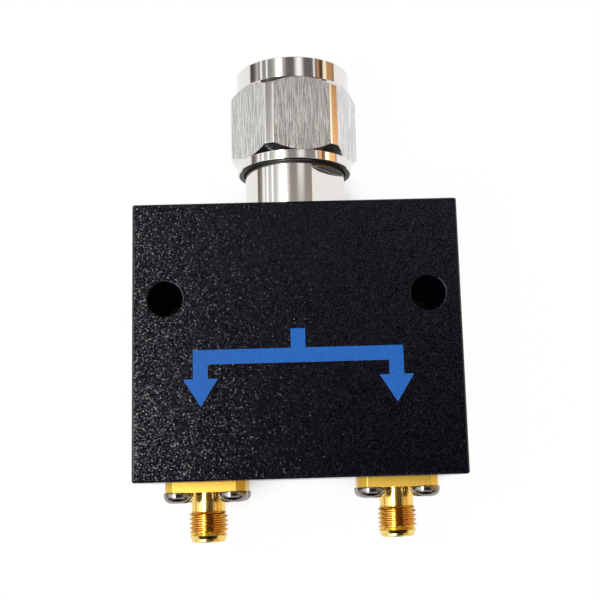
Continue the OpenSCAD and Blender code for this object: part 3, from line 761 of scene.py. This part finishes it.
def make_room():
    """The room round the table: pale and dark bands along the plug, with soft lamps over it. Past the table
    the camera sees plain white."""
    world = bpy.data.worlds.new("studio")
    bpy.context.scene.world = world
    world.use_nodes = True
    tree = world.node_tree
    tree.nodes.clear()
    direction = add(tree, "ShaderNodeTexCoord").outputs["Generated"]
    parts = add(tree, "ShaderNodeSeparateXYZ", {"Vector": direction})
    along = parts.outputs["Y"]
    angle = add(tree, "ShaderNodeMath", {0: parts.outputs["X"], 1: parts.outputs["Z"]}, operation="ARCTAN2")
    degrees = add(tree, "ShaderNodeMath", {0: angle.outputs[0]}, operation="DEGREES").outputs[0]
    turn = add(tree, "ShaderNodeMapRange", {"Value": degrees, "From Min": -180, "From Max": 180})
    bands = [add(tree, "ShaderNodeValToRGB", {"Fac": turn.outputs["Result"]},
                 [((at + 180) / 360, ROOM[colour]) for at, colour in end])
             for end in (ROOM_AT_JACKS, ROOM_AT_PLUG)]
    to_plug = add(tree, "ShaderNodeMapRange", {"Value": along, "From Min": TO_PLUG[0],
                                               "From Max": TO_PLUG[1]},
                  interpolation_type="SMOOTHSTEP")
    mixed = add(tree, "ShaderNodeMix", {0: to_plug.outputs["Result"], "A": bands[0].outputs["Color"],
                                        "B": bands[1].outputs["Color"]},
                data_type="RGBA")
    near = add(tree, "ShaderNodeMapRange", {
        "Value": along, "From Min": DARK_NEAR["from"], "From Max": DARK_NEAR["to"],
        "To Min": DARK_NEAR["left"], "To Max": ROOM_STRENGTH})
    far = add(tree, "ShaderNodeMapRange", {
        "Value": along, "From Min": DARK_FAR["from"], "From Max": DARK_FAR["to"],
        "To Min": 1.0, "To Max": DARK_FAR["left"]})
    level = add(tree, "ShaderNodeMath", {0: near.outputs["Result"], 1: far.outputs["Result"]},
                operation="MULTIPLY")
    pale = add(tree, "ShaderNodeMapRange", {
        "Value": along, "From Min": PALE["from"], "From Max": PALE["to"], "To Min": PALE["more"],
        "To Max": 0.0})
    lift = add(tree, "ShaderNodeMath", {0: pale.outputs["Result"], 1: to_plug.outputs["Result"], 2: 1.0},
               operation="MULTIPLY_ADD")
    level = add(tree, "ShaderNodeMath", {0: level.outputs[0], 1: lift.outputs[0]}, operation="MULTIPLY")
    light = add(tree, "ShaderNodeBackground", {"Color": mixed.outputs["Result"],
                                               "Strength": level.outputs[0]})
    for middle, full, fading, radiance, low, high in LAMPS:
        off = add(tree, "ShaderNodeMath", {0: degrees, 1: middle}, operation="SUBTRACT")
        off = add(tree, "ShaderNodeMath", {0: off.outputs[0]}, operation="ABSOLUTE")
        glow = add(tree, "ShaderNodeMapRange", {"Value": off.outputs[0], "From Min": full,
                                                "From Max": fading, "To Min": radiance, "To Max": 0.0},
                   interpolation_type="SMOOTHSTEP")
        start = add(tree, "ShaderNodeMapRange", {"Value": along, "From Min": low - LAMP_FADE,
                                                 "From Max": low + LAMP_FADE})
        end = add(tree, "ShaderNodeMapRange", {"Value": along, "From Min": high - LAMP_FADE,
                                               "From Max": high + LAMP_FADE, "To Min": 1.0,
                                               "To Max": 0.0})
        reach = add(tree, "ShaderNodeMath", {0: start.outputs["Result"], 1: end.outputs["Result"]},
                    operation="MULTIPLY")
        strength = add(tree, "ShaderNodeMath", {0: glow.outputs["Result"], 1: reach.outputs[0]},
                       operation="MULTIPLY")
        lamp = add(tree, "ShaderNodeBackground", {"Color": linear("#ffffff"),
                                                  "Strength": strength.outputs[0]})
        light = add(tree, "ShaderNodeAddShader", {0: light.outputs[0], 1: lamp.outputs[0]})
    white = add(tree, "ShaderNodeBackground", {"Color": linear("#ffffff"), "Strength": 1.0})
    path = add(tree, "ShaderNodeLightPath")
    seen = add(tree, "ShaderNodeMixShader", {0: path.outputs["Is Camera Ray"], 1: light.outputs[0],
                                             2: white.outputs[0]})
    add(tree, "ShaderNodeOutputWorld", {"Surface": seen.outputs[0]})


def make_camera():
    """Camera over the block, where the photograph was taken from."""
    data = bpy.data.cameras.new("camera")
    data.lens = CAMERA_LENS
    data.shift_x, data.shift_y = CAMERA_SHIFT
    data.clip_start = CAMERA_NEAR * MM
    camera = bpy.data.objects.new("camera", data)
    place, aim = Vector(CAMERA_PLACE) * MM, Vector(CAMERA_AIM) * MM
    forward = (aim - place).normalized()
    lean = math.radians(CAMERA_LEAN)
    right = forward.cross(Vector((math.sin(lean), math.cos(lean), 0))).normalized()
    turn = Matrix((right, right.cross(forward), -forward)).transposed()
    camera.matrix_world = Matrix.Translation(place) @ turn.to_4x4()
    bpy.context.scene.collection.objects.link(camera)
    bpy.context.scene.camera = camera


# CAD pieces that keep their own mesh
INNER = {
    "circuit_board": "laminate", "microstrip_trace": "copper", "isolation_resistor": "chip",
    "board_screws": "screw", "plug_insulator": "ptfe", "plug_pin": "gold", "outer_contact": "gold",
    "plug_gasket": "silicone", "snap_ring": "turned", "left_jack_insulator": "ptfe",
    "right_jack_insulator": "ptfe", "left_jack_contact": "gold", "right_jack_contact": "gold",
}
for node, finish in INNER.items():
    nodes[node].material_slots[0].material = FINISH[finish]

make_camera()
make_block()
make_nut()
make_plug()
make_eased("rear_cover", "coated_rear_cover", "coat", EDGE_ROUND)
make_eased("cover_screws", "rear_cover_screws", "screw", SCREW_BREAK)
make_eased("flange_screws", "jack_flange_screws", "screw", SCREW_BREAK)
for side in ("left", "right"):
    make_jack(side)
make_print()
make_stage()
make_room()

bpy.context.scene.view_settings.view_transform = "Standard"
